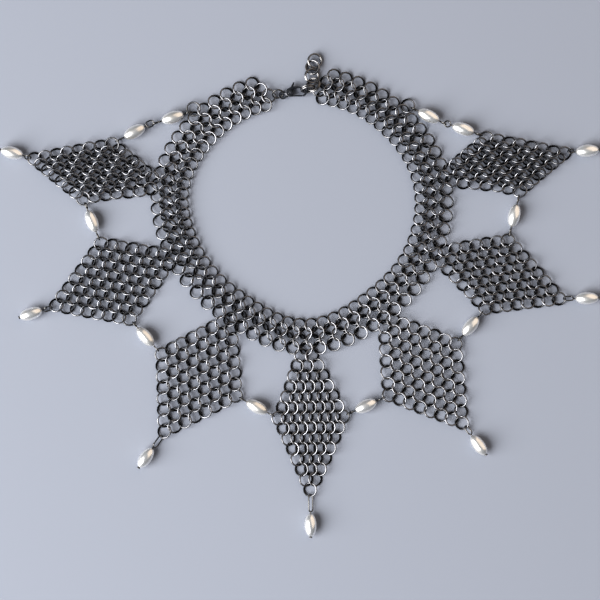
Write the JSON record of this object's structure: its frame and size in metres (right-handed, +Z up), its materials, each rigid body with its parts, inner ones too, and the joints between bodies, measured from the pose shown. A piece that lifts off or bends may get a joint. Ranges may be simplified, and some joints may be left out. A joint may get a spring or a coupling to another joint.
{
  "type": "chainmail necklace",
  "caption": "Chainmail necklace laid open: woven steel ring collar, diamond mail drops, silver oval beads on looped pins, and a lobster clasp on a short ring chain.",
  "frame": {"origin": "middle of the neck opening, on the surface that the necklace lies on", "axes": "+X towards the wearer's left, the picture's right; +Y towards the clasp at the back of the neck; +Z up from the surface"},
  "size_m": [0.3475, 0.2804, 0.0088],
  "materials": {
    "mail_steel": "polished dark steel wire with bright highlights",
    "bead_silver": "smooth silver plating, softly mirrored",
    "pin_wire": "bright drawn silver-coloured wire",
    "clasp_metal": "cast, tumbled to a soft polish"
  },
  "bodies": {
    "necklace": {"bead_link_centre": "bead_silver", "bead_link_lower_left": "bead_silver", "bead_link_lower_right": "bead_silver", "bead_link_mid_left": "bead_silver", "bead_link_mid_right": "bead_silver", "bead_link_upper_right": "bead_silver", "bead_strand_left_inner": "bead_silver", "bead_strand_left_outer": "bead_silver", "bead_strand_right_inner": "bead_silver", "bead_strand_right_outer": "bead_silver", "bead_tip_centre": "bead_silver", "bead_tip_lower_left": "bead_silver", "bead_tip_lower_right": "bead_silver", "bead_tip_mid_left": "bead_silver", "bead_tip_mid_right": "bead_silver", "bead_tip_upper_left": "bead_silver", "bead_tip_upper_right": "bead_silver", "clasp_body": "clasp_metal", "clasp_ring": "pin_wire", "clasp_rivet": "clasp_metal", "collar_left_mail": "mail_steel", "collar_right_mail": "mail_steel", "drop_centre_mail": "mail_steel", "drop_lower_left_mail": "mail_steel", "drop_lower_right_mail": "mail_steel", "drop_mid_left_mail": "mail_steel", "drop_mid_right_mail": "mail_steel", "drop_upper_left_mail": "mail_steel", "drop_upper_right_mail": "mail_steel", "extender_chain": "mail_steel", "pin_link_centre": "pin_wire", "pin_link_lower_left": "pin_wire", "pin_link_lower_right": "pin_wire", "pin_link_mid_left": "pin_wire", "pin_link_mid_right": "pin_wire", "pin_link_upper_right": "pin_wire", "pin_strand_left_inner": "pin_wire", "pin_strand_left_outer": "pin_wire", "pin_strand_right_inner": "pin_wire", "pin_strand_right_outer": "pin_wire", "pin_tip_centre": "pin_wire", "pin_tip_lower_left": "pin_wire", "pin_tip_lower_right": "pin_wire", "pin_tip_mid_left": "pin_wire", "pin_tip_mid_right": "pin_wire", "pin_tip_upper_left": "pin_wire", "pin_tip_upper_right": "pin_wire"},
    "lever": {"clasp_lever": "clasp_metal"}
  },
  "joints": [
    {"name": "lever_hinge", "type": "hinge", "parent": "necklace", "child": "lever", "pos_m": [-0.00596, 0.06634, 0.00221], "axis": [-0.1392, 0, 0.9903], "range_deg": [0, 9], "stiffness_Nm_per_rad": 0.001}
  ]
}
